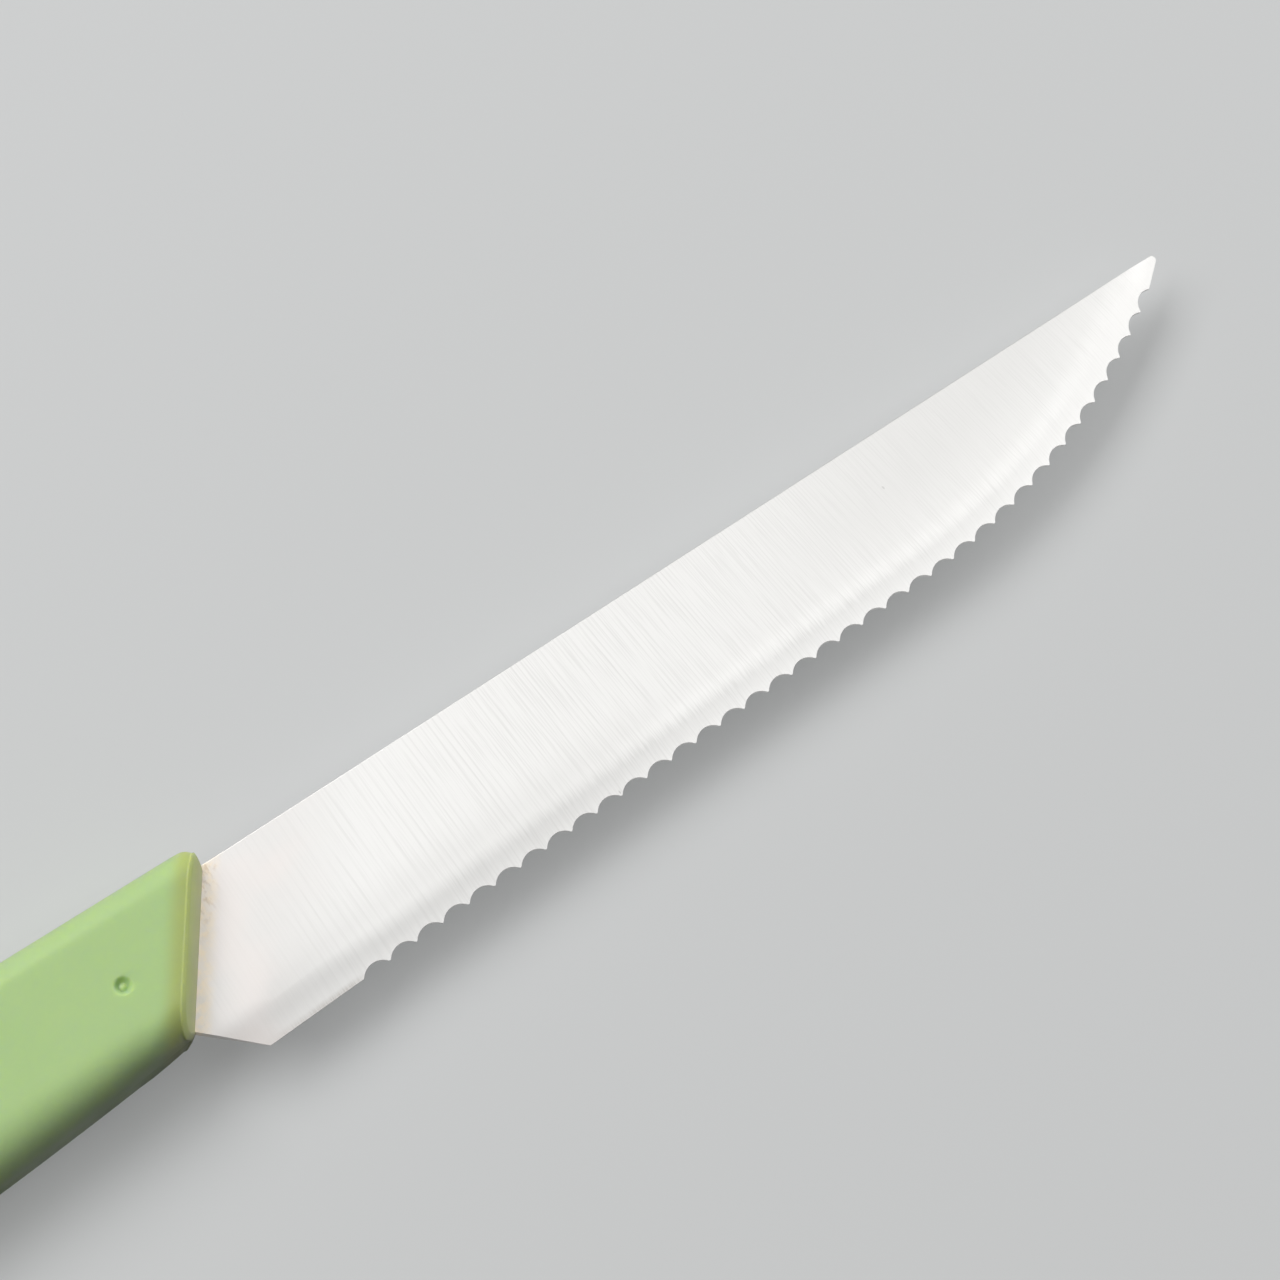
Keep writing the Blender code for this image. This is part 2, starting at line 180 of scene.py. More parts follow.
def choil_entry():
    """Where the cut behind the heel enters the front end of the handle."""
    return -(HANDLE_NECK - STEEL_UNDER_COVER) / FRONT_UP.y * FRONT_UP


def choil_columns():
    """Columns from the shoulder to the heel, all leaning like the front end of the handle."""
    entry = choil_entry()
    inner = HEEL + (entry - HEEL) * (TANG_BOTTOM - HEEL.y) / (entry.y - HEEL.y)
    shoulder = Vector((-TANG_SHOULDER, 0))
    pairs = [(Vector((-TANG_SHOULDER + TANG_BOTTOM * math.tan(FRONT_SLANT), TANG_BOTTOM)), shoulder)]
    steps = 24
    for step in range(steps + 1):
        low = inner.lerp(HEEL, step / steps)
        pairs.append((low, spine_over(low, FRONT_SLANT)))
    return pairs


def edge_distances():
    """Distances from the heel of the columns along the edge, close together over the scallops."""
    plain_steps = 24
    distances = [PLAIN_HEEL * step / plain_steps for step in range(1, plain_steps)]
    count = SCALLOPS * STEPS_PER_SCALLOP
    distances += [PLAIN_HEEL + SCALLOP_PITCH * step / STEPS_PER_SCALLOP for step in range(count + 1)]
    return distances


def edge_columns():
    straightening = 45.0 * MM
    pairs = []
    for distance in edge_distances():
        low, inward = edge_place(distance)
        square = math.atan2(inward.x, inward.y)
        share = min(distance / straightening, 1)
        pairs.append((low, spine_over(low, FRONT_SLANT + (square - FRONT_SLANT) * share)))
    return pairs


def point_columns():
    """Columns over the plain point, then round the blunt tip until both ends meet."""
    half = (-PLAIN_ALONG).angle(Vector((-1, 0))) / 2
    setback = TIP_RADIUS / math.tan(half)
    middle = (Vector((-1, 0)) - PLAIN_ALONG).normalized()
    centre = TIP + middle * TIP_RADIUS / math.sin(half)
    spine_start = spine_over(PLAIN_START, math.atan2(PLAIN_INWARD.x, PLAIN_INWARD.y))
    low_end = TIP - PLAIN_ALONG * setback
    high_end = TIP - Vector((setback, 0))
    steps = 26
    pairs = []
    for step in range(1, steps + 1):
        pairs.append((PLAIN_START.lerp(low_end, step / steps), spine_start.lerp(high_end, step / steps)))
    round_steps = 6
    for step in range(1, round_steps + 1):
        turn = (math.pi / 2 - half) * (1 - step / round_steps)
        forward = -middle * math.cos(turn)
        sideways = Vector((-middle.y, middle.x)) * math.sin(turn)
        pairs.append((centre + TIP_RADIUS * (forward + sideways), centre + TIP_RADIUS * (forward - sideways)))
    return pairs


def row_shares(length):
    """Rows across one column: close together over the ground band and at the broken corner."""
    fine_rows = 24
    fine_spacing = 0.17 * MM
    coarse_rows = 7
    full_length = 8.0 * MM
    # The broken corner, in shares of its width: a last flat row ahead of it, a row on it and its full drop
    row_ahead = 0.8
    row_inside = 0.35
    row_drop = 0.13
    full_drop = 0.5
    scale = min(length / full_length, 1)
    break_width = SPINE_BREAK * scale
    rows = [(row * fine_spacing * scale / length, 0.0) for row in range(fine_rows)]
    start = fine_rows * fine_spacing * scale
    stop = length - break_width
    rows += [((start + (stop - start) * row / coarse_rows) / length, 0.0) for row in range(coarse_rows + 1)]
    rows.insert(-1, ((stop - row_ahead * break_width) / length, 0.0))
    rows.append((1 - row_inside * break_width / length, row_drop * break_width))
    rows.append((1.0, full_drop * break_width))
    return rows


def band_width(point):
    """The grinding wheel runs in at the heel, so the band there starts wider and shallower."""
    along = (point - HEEL).dot(ALONG_EDGE)
    share = min(max(along / BAND_RUN_IN, 0), 1)
    eased = share * share * (3 - 2 * share)
    return BAND_WIDTH_AT_HEEL + (BAND_WIDTH - BAND_WIDTH_AT_HEEL) * eased


def blade_sheet():
    """Flat grid of one side of the blade, with what the grinding needs to know kept on its points."""
    columns = [(pair, -1.0) for pair in tang_columns() + choil_columns()]
    columns += [(pair, distance) for pair, distance in zip(edge_columns(), edge_distances())]
    columns += [(pair, -1.0) for pair in point_columns()]
    points = []
    facts = {name: [] for name in SHEET_FACTS}
    shortest = 0.001 * MM
    for (low, high), distance in columns:
        length = max((high - low).length, shortest)
        inward = edge_place(max(distance, 0))[1]
        for share, drop in row_shares(length):
            point = low.lerp(high, share)
            points.append((point.x + JUNCTION.x, point.y + JUNCTION.y, JUNCTION.z))
            facts["from_heel"].append(distance)
            facts["from_edge"].append(max(from_edge(point), 0))
            facts["share"].append(share)
            facts["band"].append(band_width(point))
            facts["corner_drop"].append(drop)
            facts["inward"] += [inward.x, inward.y, 0.0]
    rows = len(points) // len(columns)
    faces = []
    for column in range(len(columns) - 1):
        for row in range(rows - 1):
            first = column * rows + row
            faces.append((first, first + rows, first + rows + 1, first + 1))
    mesh = bpy.data.meshes.new("blade_side")
    mesh.from_pydata(points, [], faces)
    for name, values in facts.items():
        vector = name == "inward"
        layer = mesh.attributes.new(name, "FLOAT_VECTOR" if vector else "FLOAT", "POINT")
        layer.data.foreach_set("vector" if vector else "value", values)
    side = bpy.data.objects.new("blade_side", mesh)
    bpy.context.scene.collection.objects.link(side)
    return side


def add_node(tree, kind, inputs=None, **settings):
    """Adds a node to a tree. An input given as a socket is linked, and any other value is set on it."""
    made = tree.nodes.new(kind)
    for name, value in settings.items():
        setattr(made, name, value)
    for key, value in (inputs or {}).items():
        if isinstance(value, bpy.types.NodeSocket):
            tree.links.new(value, made.inputs[key])
        else:
            made.inputs[key].default_value = value
    return made


def grinding_tree(sizes, material):
    """Geometry Nodes tree that cuts the hollows and gives one side of the blade its ground thickness."""
    tree = bpy.data.node_groups.new("grind_and_serrate", "GeometryNodeTree")
    tree.interface.new_socket(name="Blade Side", in_out="INPUT", socket_type="NodeSocketGeometry")
    identifiers = {}
    for name in sizes:
        socket = tree.interface.new_socket(name=name, in_out="INPUT", socket_type="NodeSocketFloat")
        identifiers[name] = socket.identifier
    tree.interface.new_socket(name="Ground Side", in_out="OUTPUT", socket_type="NodeSocketGeometry")
    given = add_node(tree, "NodeGroupInput").outputs

    # What the steps below may work on: the sizes given to the tree and the facts kept on the sheet's points
    known = {name: given[name] for name in sizes}
    for name in SHEET_FACTS:
        kind = "FLOAT_VECTOR" if name == "inward" else "FLOAT"
        reader = add_node(tree, "GeometryNodeInputNamedAttribute", {"Name": name}, data_type=kind)
        known[name] = reader.outputs["Attribute"]

    # Each step is a name, an operation and what it works on: something known, an earlier step or a number
    steps = (
        # Depth of the round hollow at this distance along the edge: an arc between two blunt teeth
        ("along", "SUBTRACT", "from_heel", "Plain Heel"),
        ("within", "MODULO", "along", "Pitch"),
        ("half_pitch", "MULTIPLY", "Pitch", 0.5),
        ("off_middle", "SUBTRACT", "within", "half_pitch"),
        ("opening", "SUBTRACT", "Pitch", "Tooth Land"),
        ("half_opening", "MULTIPLY", "opening", 0.5),
        ("half_squared", "POWER", "half_opening", 2.0),
        ("depth_squared", "POWER", "Depth", 2.0),
        ("squares", "ADD", "half_squared", "depth_squared"),
        ("twice_depth", "MULTIPLY", "Depth", 2.0),
        ("radius", "DIVIDE", "squares", "twice_depth"),
        ("radius_squared", "POWER", "radius", 2.0),
        ("off_middle_squared", "POWER", "off_middle", 2.0),
        ("reach_squared", "SUBTRACT", "radius_squared", "off_middle_squared"),
        ("reach", "SQRT", "reach_squared"),
        ("reach_and_depth", "ADD", "reach", "Depth"),
        ("hollow", "SUBTRACT", "reach_and_depth", "radius"),
        ("cut", "MAXIMUM", "hollow", 0.0),
        ("past_heel", "GREATER_THAN", "along", 0.0),
        ("before_end", "LESS_THAN", "along", "Serrated Length"),
        ("serrated", "MULTIPLY", "past_heel", "before_end"),
        ("depth_here", "MULTIPLY", "cut", "serrated"),
        # Rows near the edge move in by the whole depth, rows near the spine not at all
        ("share_left", "SUBTRACT", 1.0, "share"),
        ("moved", "MULTIPLY", "depth_here", "share_left"),
        # Half thickness: a band ground hollow by the wheel, blended softly into the flat side
        ("inset", "ADD", "from_edge", "moved"),
        ("band_share", "DIVIDE", "inset", "band"),
        ("straightness", "SUBTRACT", 1.0, "Hollow Grind"),
        ("straight_part", "MULTIPLY", "band_share", "straightness"),
        ("band_share_squared", "POWER", "band_share", 2.0),
        ("ground", "MULTIPLY_ADD", "band_share_squared", "Hollow Grind", "straight_part"),
        ("thinned", "SUBTRACT", "Thickness", "Edge Thickness"),
        ("rise", "MULTIPLY", "thinned", 0.5),
        ("half_edge", "MULTIPLY", "Edge Thickness", 0.5),
        ("band_height", "MULTIPLY_ADD", "ground", "rise", "half_edge"),
        ("full_height", "MULTIPLY", "Thickness", 0.5),
        ("blended_height", "SMOOTH_MIN", "band_height", "full_height", "Blend"),
        ("height", "SUBTRACT", "blended_height", "corner_drop"),
    )
    for name, operation, *sources in steps:
        inputs = {place: known.get(source, source) for place, source in enumerate(sources)}
        known[name] = add_node(tree, "ShaderNodeMath", inputs, operation=operation).outputs[0]

    sideways = add_node(
        tree,
        "ShaderNodeVectorMath",
        {0: known["inward"], "Scale": known["moved"]},
        operation="SCALE",
    )
    upward = add_node(tree, "ShaderNodeCombineXYZ", {"Z": known["height"]})
    offset = add_node(
        tree,
        "ShaderNodeVectorMath",
        {0: sideways.outputs[0], 1: upward.outputs[0]},
        operation="ADD",
    )
    shaped = add_node(
        tree,
        "GeometryNodeSetPosition",
        {"Geometry": given["Blade Side"], "Offset": offset.outputs[0]},
    )
    real = add_node(tree, "GeometryNodeRealizeInstances", {"Geometry": shaped.outputs[0]})
    finished = add_node(tree, "GeometryNodeSetMaterial", {"Geometry": real.outputs[0], "Material": material})
    add_node(tree, "NodeGroupOutput", {"Ground Side": finished.outputs[0]})
    return tree, identifiers


def linear(colour):
    """Turns an sRGB hex colour into the linear values that a shader takes."""
    channels = [int(colour[place:place + 2], 16) / 255 for place in (1, 3, 5)]
    return [c / 12.92 if c <= 0.04045 else ((c + 0.055) / 1.055) ** 2.4 for c in channels] + [1.0]


def new_material(name):
    material = bpy.data.materials.new(name)
    material.use_nodes = True
    material.node_tree.nodes.clear()
    return material


def laid_over(tree, colour, tint, limits, strength=1.0):
    """Lays a tint over a colour, as strongly as all its limits together allow.

    Each limit is a value, the two ends of its run and the strength at each end.
    """
    for value, low, high, start, stop in limits:
        run = {"Value": value, "From Min": low, "From Max": high, "To Min": start, "To Max": stop}
        eased = add_node(tree, "ShaderNodeMapRange", run, interpolation_type="SMOOTHSTEP")
        product = {0: strength, 1: eased.outputs["Result"]}
        strength = add_node(tree, "ShaderNodeMath", product, operation="MULTIPLY").outputs[0]
    laid = add_node(tree, "ShaderNodeMix", {0: strength, 6: colour, 7: linear(tint)}, data_type="RGBA")
    return laid.outputs[2]


STEEL = "#EBEAE8"
# Grey of the grinding marks, also used for painted shade across the blade
STEEL_STREAK_AND_SHADE = "#D2D1CF"
STEEL_WARM = "#E5DBD7"
# Darker steel along the plain edge, also used for painted shade by the choil
STEEL_DARK_AND_SHADE = "#B9B5AF"
STEEL_STAIN = "#EADCC6"
STEEL_BROWN = "#A98F74"
STEEL_PIT = "#8E8A86"


def ground_stainless():
    """Stainless steel ground across with a coarse belt: a bright satin face drawn with fine lines.

    The lines are drawn wider than real grinding marks, which are too fine for the picture to hold.
    """
    material = new_material("ground_stainless")
    tree = material.node_tree

    facts = {}
    for name in ("grinding", "belt_marks", "grind_share", "from_edge", "from_handle", "from_choil"):
        facts[name] = add_node(tree, "ShaderNodeAttribute", attribute_name=name).outputs
    across = facts["grinding"]["Vector"]
    below_spine_mm = add_node(tree, "ShaderNodeSeparateXYZ", {0: across}).outputs["Y"]
    share = facts["grind_share"]["Fac"]
    from_edge_mm = facts["from_edge"]["Fac"]
    from_handle_mm = facts["from_handle"]["Fac"]
    from_choil_mm = facts["from_choil"]["Fac"]

    # Noise drawn out into lines and patches, each with its width and length in millimetres and its detail
    noises = {}
    for name, width, length, detail in (
        ("strong_places", 2.4, 8.0, 2.0),
        ("fine_lines", 0.17, 7.0, 2.0),
        ("short_marks", 0.15, 2.5, 1.0),
        ("warm_places", 14.0, 9.0, 2.0),
        ("stain", 1.1, 0.9, 4.0),
        ("brown_specks", 0.6, 1.1, 4.0),
    ):
        stretched = add_node(
            tree,
            "ShaderNodeVectorMath",
            {0: across, 1: (1 / width, 1 / length, 0.0)},
            operation="MULTIPLY",
        )
        noise = add_node(
            tree,
            "ShaderNodeTexNoise",
            {"Vector": stretched.outputs[0], "Scale": 1.0, "Detail": detail, "Roughness": 0.55},
            noise_dimensions="2D",
        )
        noises[name] = noise.outputs[0]

    # Belt marks: a row of nearly even lines, each strong in some places and lost in others
    wave = add_node(
        tree,
        "ShaderNodeTexWave",
        {
            "Vector": facts["belt_marks"]["Vector"],
            "Scale": 1.0,
            "Distortion": 2.2,
            "Detail": 2.0,
            "Detail Scale": 1.6,
            "Detail Roughness": 0.6,
        },
    )
    lines = add_node(
        tree,
        "ShaderNodeMapRange",
        {"Value": wave.outputs["Fac"], "From Min": 0.74, "From Max": 1.0, "To Min": 0.0, "To Max": 1.0},
        interpolation_type="SMOOTHSTEP",
    )
    strong = add_node(
        tree,
        "ShaderNodeMapRange",
        {"Value": noises["strong_places"], "From Min": 0.30, "From Max": 0.62, "To Min": 0.15, "To Max": 1.0},
        interpolation_type="SMOOTHSTEP",
    )
    marks = add_node(
        tree,
        "ShaderNodeMath",
        {0: lines.outputs[0], 1: strong.outputs[0]},
        operation="MULTIPLY",
    )

    # Small dark pits, drawn out along the marks
    pit_place = add_node(tree, "ShaderNodeVectorMath", {0: across, 1: (1.0, 0.5, 0.0)}, operation="MULTIPLY")
    pits = add_node(
        tree,
        "ShaderNodeTexVoronoi",
        {"Vector": pit_place.outputs[0], "Scale": 0.06, "Randomness": 1.0},
        voronoi_dimensions="2D",
    )

    # The marks are strongest before the middle of the blade and are lost towards the tip
    fading = ((from_handle_mm, 34.0, 76.0, 1.0, 0.55), (from_edge_mm, 1.0, 4.0, 0.5, 1.0))
    belt_limits = ((from_handle_mm, 14.0, 28.0, 0.34, 0.46), *fading)
    colour = laid_over(tree, linear(STEEL), STEEL_STREAK_AND_SHADE, belt_limits, marks.outputs[0])
    layers = (
        # The fine lines between the belt marks
        (
            STEEL_STREAK_AND_SHADE,
            (noises["fine_lines"], 0.46, 0.76, 0.0, 1.0),
            (from_handle_mm, 16.0, 28.0, 0.25, 0.5),
            *fading,
        ),
        # Where the edge grind begins, painted shade lays a soft darker line along the turn of the grind,
        # broken by short marks of the finer wheel
        (
            STEEL_STREAK_AND_SHADE,
            (share, 0.6, 0.98, 0.0, 1.0),
            (share, 1.0, 1.5, 1.0, 0.0),
            (from_handle_mm, 7.0, 40.0, 0.0, 0.8),
            (from_handle_mm, 50.0, 80.0, 1.0, 0.3),
            (noises["short_marks"], 0.4, 0.66, 0.1, 0.6),
        ),
        # The plain part of the edge is darker along its last 0.7 mm, in short marks
        (
            STEEL_DARK_AND_SHADE,
            (from_edge_mm, 0.1, 0.7, 1.0, 0.0),
            (from_handle_mm, 13.5, 15.5, 1.0, 0.0),
            (noises["short_marks"], 0.4, 0.66, 0.6, 0.95),
        ),
        # Painted shade on the corner above the choil
        (STEEL_DARK_AND_SHADE, (from_choil_mm, 0.0, 2.0, 0.7, 0.0)),
        # Broad tone: slight shades laid on by place, so that the steel's brightness follows the photo. They
        # stand for the photo's own light, and no mark on the real steel is known to cause them
        (STEEL_STREAK_AND_SHADE, (from_edge_mm, 2.4, 5.0, 0.0, 0.35)),
        (
            STEEL_STREAK_AND_SHADE,
            (from_edge_mm, 2.3, 3.2, 0.3, 0.45),
            (from_edge_mm, 3.2, 8.0, 1.0, 0.0),
            (from_handle_mm, 30.0, 50.0, 1.0, 0.0),
        ),
        (STEEL_STREAK_AND_SHADE, (from_edge_mm, 2.0, 4.5, 0.7, 0.0), (from_handle_mm, 80.0, 105.0, 0.0, 1.0)),
        (STEEL_STREAK_AND_SHADE, (from_handle_mm, 4.0, 16.0, 0.65, 0.0)),
        (
            STEEL_STREAK_AND_SHADE,
            (from_edge_mm, 2.5, 10.0, 0.0, 0.5),
            (from_handle_mm, 45.0, 70.0, 0.0, 1.0),
            (from_handle_mm, 85.0, 105.0, 1.0, 0.2),
        ),
        # Warm stains in places near the handle
        (STEEL_WARM, (noises["warm_places"], 0.35, 0.65, 0.1, 0.4), (from_handle_mm, 5.0, 13.0, 1.0, 0.0)),
        # A yellow stain shows where the plastic meets the steel, with brown specks towards the spine
        (STEEL_STAIN, (from_handle_mm, 0.3, 1.8, 1.0, 0.0), (noises["stain"], 0.35, 0.65, 0.3, 0.85)),
        (
            STEEL_BROWN,
            (from_handle_mm, 0.3, 1.8, 1.0, 0.0),
            (noises["brown_specks"], 0.46, 0.8, 0.0, 1.0),
            (below_spine_mm, 2.5, 7.0, 0.5, 0.0),
        ),
        (STEEL_PIT, (pits.outputs["Distance"], 0.003, 0.008, 0.3, 0.0)),
    )
    for tint, *limits in layers:
        colour = laid_over(tree, colour, tint, limits)

    roughness = add_node(
        tree,
        "ShaderNodeMapRange",
        {"Value": noises["fine_lines"], "From Min": 0.3, "From Max": 0.7, "To Min": 0.40, "To Max": 0.47},
        interpolation_type="SMOOTHSTEP",
    )
    height = add_node(
        tree,
        "ShaderNodeMath",
        {0: noises["fine_lines"], 1: marks.outputs[0]},
        operation="SUBTRACT",
    )
    bump = add_node(
        tree,
        "ShaderNodeBump",
        {"Height": height.outputs[0], "Strength": 0.25, "Distance": 0.003 * MM},
    )
    shader = add_node(
        tree,
        "ShaderNodeBsdfPrincipled",
        {
            "Base Color": colour,
            "Metallic": 1.0,
            "Roughness": roughness.outputs[0],
            "Normal": bump.outputs[0],
        },
    )
    add_node(tree, "ShaderNodeOutputMaterial", {"Surface": shader.outputs[0]})
    return material


def bare_mesh(item, name):
    """The object as its modifiers leave it, as a plain mesh under a new name."""
    state = bpy.context.evaluated_depsgraph_get()
    mesh = bpy.data.meshes.new_from_object(item.evaluated_get(state))
    mesh.name = name
    return mesh


def close_blade(mesh):
    """Adds the other side as a mirror image and walls the two together along the outline."""
    builder = bmesh.new()
    builder.from_mesh(mesh)
    near = list(builder.verts)
    rim = [edge for edge in builder.edges if edge.is_boundary]
    copied = bmesh.ops.duplicate(builder, geom=builder.verts[:] + builder.edges[:] + builder.faces[:])
    twin = copied["vert_map"]
    for vertex in near:
        twin[vertex].co.z = 2 * JUNCTION.z - vertex.co.z
    other_side = [item for item in copied["geom"] if isinstance(item, bmesh.types.BMFace)]
    bmesh.ops.reverse_faces(builder, faces=other_side)
    for edge in rim:
        first, second = edge.verts
        builder.faces.new((first, second, twin[second], twin[first]))
    bmesh.ops.remove_doubles(builder, verts=builder.verts, dist=WELD_DISTANCE)
    bmesh.ops.recalc_face_normals(builder, faces=builder.faces)
    builder.to_mesh(mesh)
    builder.free()


def add_piece(name, mesh):
    item = bpy.data.objects.new(name, mesh)
    bpy.context.scene.collection.objects.link(item)
    return item


def pillar(name, places, radius, low, high):
    """Round tools standing at several places, for holes and for the pegs that fill them."""
    builder = bmesh.new()
    for x, y in places:
        cone = bmesh.ops.create_cone(
            builder,
            cap_ends=True,
            segments=ROUND_STEPS,
            radius1=radius,
            radius2=radius,
            depth=high - low,
        )
        centre = JUNCTION + Vector((x, y, (low + high) / 2))
        bmesh.ops.translate(builder, verts=cone["verts"], vec=centre)
    mesh = bpy.data.meshes.new(name)
    builder.to_mesh(mesh)
    builder.free()
    return add_piece(name, mesh)


def boolean(item, tool, operation):
    """Combines a tool with an object for good, and takes the tool away."""
    step = item.modifiers.new(tool.name, "BOOLEAN")
    step.operation = operation
    step.solver = "EXACT"
    step.object = tool
    mesh = bare_mesh(item, item.name)
    item.modifiers.remove(step)
    item.data = mesh
    bpy.data.objects.remove(tool, do_unlink=True)


def hole_places():
    middle = (TANG_BOTTOM - TANG_DROP) / 2
    last = TANG_END_COVER + TANG_HOLE_LAST - HANDLE_LENGTH
    spacing = (last + TANG_HOLE_FIRST) / (TANG_HOLES - 1)
    return [(spacing * index - TANG_HOLE_FIRST, middle) for index in range(TANG_HOLES)]


def write_fact(mesh, name, values, kind="FLOAT"):
    layer = mesh.attributes.new(name, kind, "POINT")
    layer.data.foreach_set("vector" if kind == "FLOAT_VECTOR" else "value", values)


# Coarse belt marks stand an even distance apart near the handle and draw closer together further on
BELT_MARKS = 0.9
BELT_EVEN = 12.0
BELT_CLOSING = 0.0145
WAVE_PERIOD = math.pi / 10  # what one wave of the Wave Texture measures at scale 1
BELT_STRETCH = 60.0  # how slowly a mark changes down its length

# The marks fan out towards the tip. Their lean, in degrees by millimetres from the junction, was fitted to
# the photo
LEAN_AT_JUNCTION = -1.7
LEAN_GROWTH = 0.115
LEAN_EASING = 0.00032


def grinding_facts(mesh):
    """Keeps on each point, in millimetres, where it lies for the grinding marks and the stain."""
    grinding = []
    belt = []
    grind_share = []
    edge = []
    handle = []
    choil = []
    along_choil = (choil_entry() - HEEL).normalized()
    for vertex in mesh.vertices:
        local = (vertex.co - JUNCTION).to_2d()
        x, y = local / MM
        lean = math.radians(LEAN_AT_JUNCTION + LEAN_GROWTH * x - LEAN_EASING * x * x)
        along = x + y * math.tan(lean)
        grinding += [along, -y, 0.0]
        lines = along / BELT_MARKS + BELT_CLOSING * max(along - BELT_EVEN, 0) ** 2
        belt += [lines * WAVE_PERIOD, -y / BELT_STRETCH, 0.0]
        edge.append(from_edge(local) / MM)
        grind_share.append(from_edge(local) / band_width(local))
        handle.append(-local.dot(FRONT_BACK) / MM)
        choil.append((local - HEEL).dot(Vector((along_choil.y, -along_choil.x))) / MM)
    write_fact(mesh, "grinding", grinding, "FLOAT_VECTOR")
    write_fact(mesh, "belt_marks", belt, "FLOAT_VECTOR")
    write_fact(mesh, "grind_share", grind_share)
    write_fact(mesh, "from_edge", edge)
    write_fact(mesh, "from_handle", handle)
    write_fact(mesh, "from_choil", choil)


steel = ground_stainless()
side = blade_sheet()
grinding_sizes = {
    "Pitch": SCALLOP_PITCH,
    "Depth": SCALLOP_DEPTH,
    "Plain Heel": PLAIN_HEEL,
    "Serrated Length": SCALLOPS * SCALLOP_PITCH,
    "Tooth Land": TOOTH_LAND,
    "Thickness": BLADE_THICKNESS,
    "Edge Thickness": EDGE_THICKNESS,
    "Hollow Grind": HOLLOW_GRIND,
    "Blend": BAND_BLEND,
}
grind = side.modifiers.new("grind_and_serrate", "NODES")
grind.node_group, inputs_by_name = grinding_tree(grinding_sizes, steel)
for size_name, size_value in grinding_sizes.items():
    grind[inputs_by_name[size_name]] = size_value
blade_mesh = bare_mesh(side, "ground_blade")
bpy.data.objects.remove(side, do_unlink=True)
close_blade(blade_mesh)
for leftover in SHEET_FACTS:
    blade_mesh.attributes.remove(blade_mesh.attributes[leftover])
blade = add_piece("ground_blade", blade_mesh)
tang_holes = pillar("tang_holes", hole_places(), TANG_HOLE_RADIUS, -BLADE_THICKNESS, BLADE_THICKNESS)
boolean(blade, tang_holes, "DIFFERENCE")
grinding_facts(blade.data)
blade.data.shade_smooth()
blade.data.set_sharp_from_angle(angle=BLADE_CREASE)
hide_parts("blade")
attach(blade, "root")

# The handle: light green polypropylene, moulded in one shot over the tang, with its front end slanted and
# drafted and all its long corners rounded. The mould left a sunk ring mark on the upper side, a fine bead
# round the rim of the front end and a hairline seam along the top and the bottom.

HANDLE_THICKNESS = 11.0 * MM
HANDLE_TOP = 1.45 * MM
HANDLE_CROWN = 0.6 * MM
HANDLE_SWELL = 2.6 * MM
HANDLE_SWELL_LENGTH = 50.0 * MM
TOP_ROUNDING = 2.6 * MM
NECK_ROUNDING = 3.1 * MM
PALM_ROUNDING = 4.8 * MM
FRONT_DRAFT = math.radians(12.0)
FRONT_ROLL_RADIUS = 5.5 * MM
FRONT_ROLL_RUN = 2.7 * MM
FRONT_TOP_CORNER = 1.5 * MM
FRONT_BOTTOM_CORNER = 1.0 * MM
RIM_RADIUS = 0.22 * MM
LIP_HEIGHT = 0.085 * MM
LIP_PLACE = 0.26 * MM  # behind the rim
LIP_WIDTH = 0.11 * MM
BUTT_CORNER = 6.5 * MM
BUTT_ROUNDING = 3.0 * MM
SEAM_DEPTH = 0.03 * MM
SEAM_WIDTH = 0.16 * MM
LARGEST_ROUNDING = 0.45  # share of a section's depth that one rounded corner may take
HANDLE_CREASE = math.radians(40)
FIT_GAP = 0.04 * MM
DIMPLE_SETBACK = 12.7 * MM
DIMPLE_DROP = 6.5 * MM


def top_line(x):
    share = min(max(-x / HANDLE_LENGTH, 0), 1)
    return HANDLE_TOP + HANDLE_CROWN * math.sin(math.pi * share)


def palm_share(x):
    """0 at the neck, easing up to 1 where the palm has its full depth."""
    neck = -HANDLE_NECK * math.tan(FRONT_SLANT)
    left = 1 - min(max((neck - x) / HANDLE_SWELL_LENGTH, 0), 1)
    return 1 - left * left


def bottom_line(x):
    return -HANDLE_NECK - HANDLE_SWELL * palm_share(x)


def corner_cut(setback, radius, opening):
    """What a rounded corner takes off a slanted section that lies a setback behind the front."""
    if setback >= radius * (1 + math.cos(opening)):
        return 0.0
    sharp = -setback / math.tan(opening)
    rounded = math.sqrt(radius * radius - (radius - setback) ** 2) - radius / math.tan(opening / 2)
    return sharp - rounded


def line_crossing(setback, line):
    """Where a slanted section meets the top or bottom line, measured up along the section."""
    reach = 0.0
    rounds = 8  # each round comes closer, because the lines are nearly level
    for _ in range(rounds):
        x = (setback * FRONT_BACK + reach * FRONT_UP).x
        reach = (line(x) - setback * FRONT_BACK.y) / FRONT_UP.y
    return reach


def front_chord(setback):
    """Ends of the section that lies a setback behind the front end, parallel to it."""
    low = line_crossing(setback, bottom_line)
    low += corner_cut(setback, FRONT_BOTTOM_CORNER, math.pi / 2 + FRONT_SLANT)
    high = line_crossing(setback, top_line)
    high -= corner_cut(setback, FRONT_TOP_CORNER, math.pi / 2 - FRONT_SLANT)
    return setback * FRONT_BACK + low * FRONT_UP, setback * FRONT_BACK + high * FRONT_UP


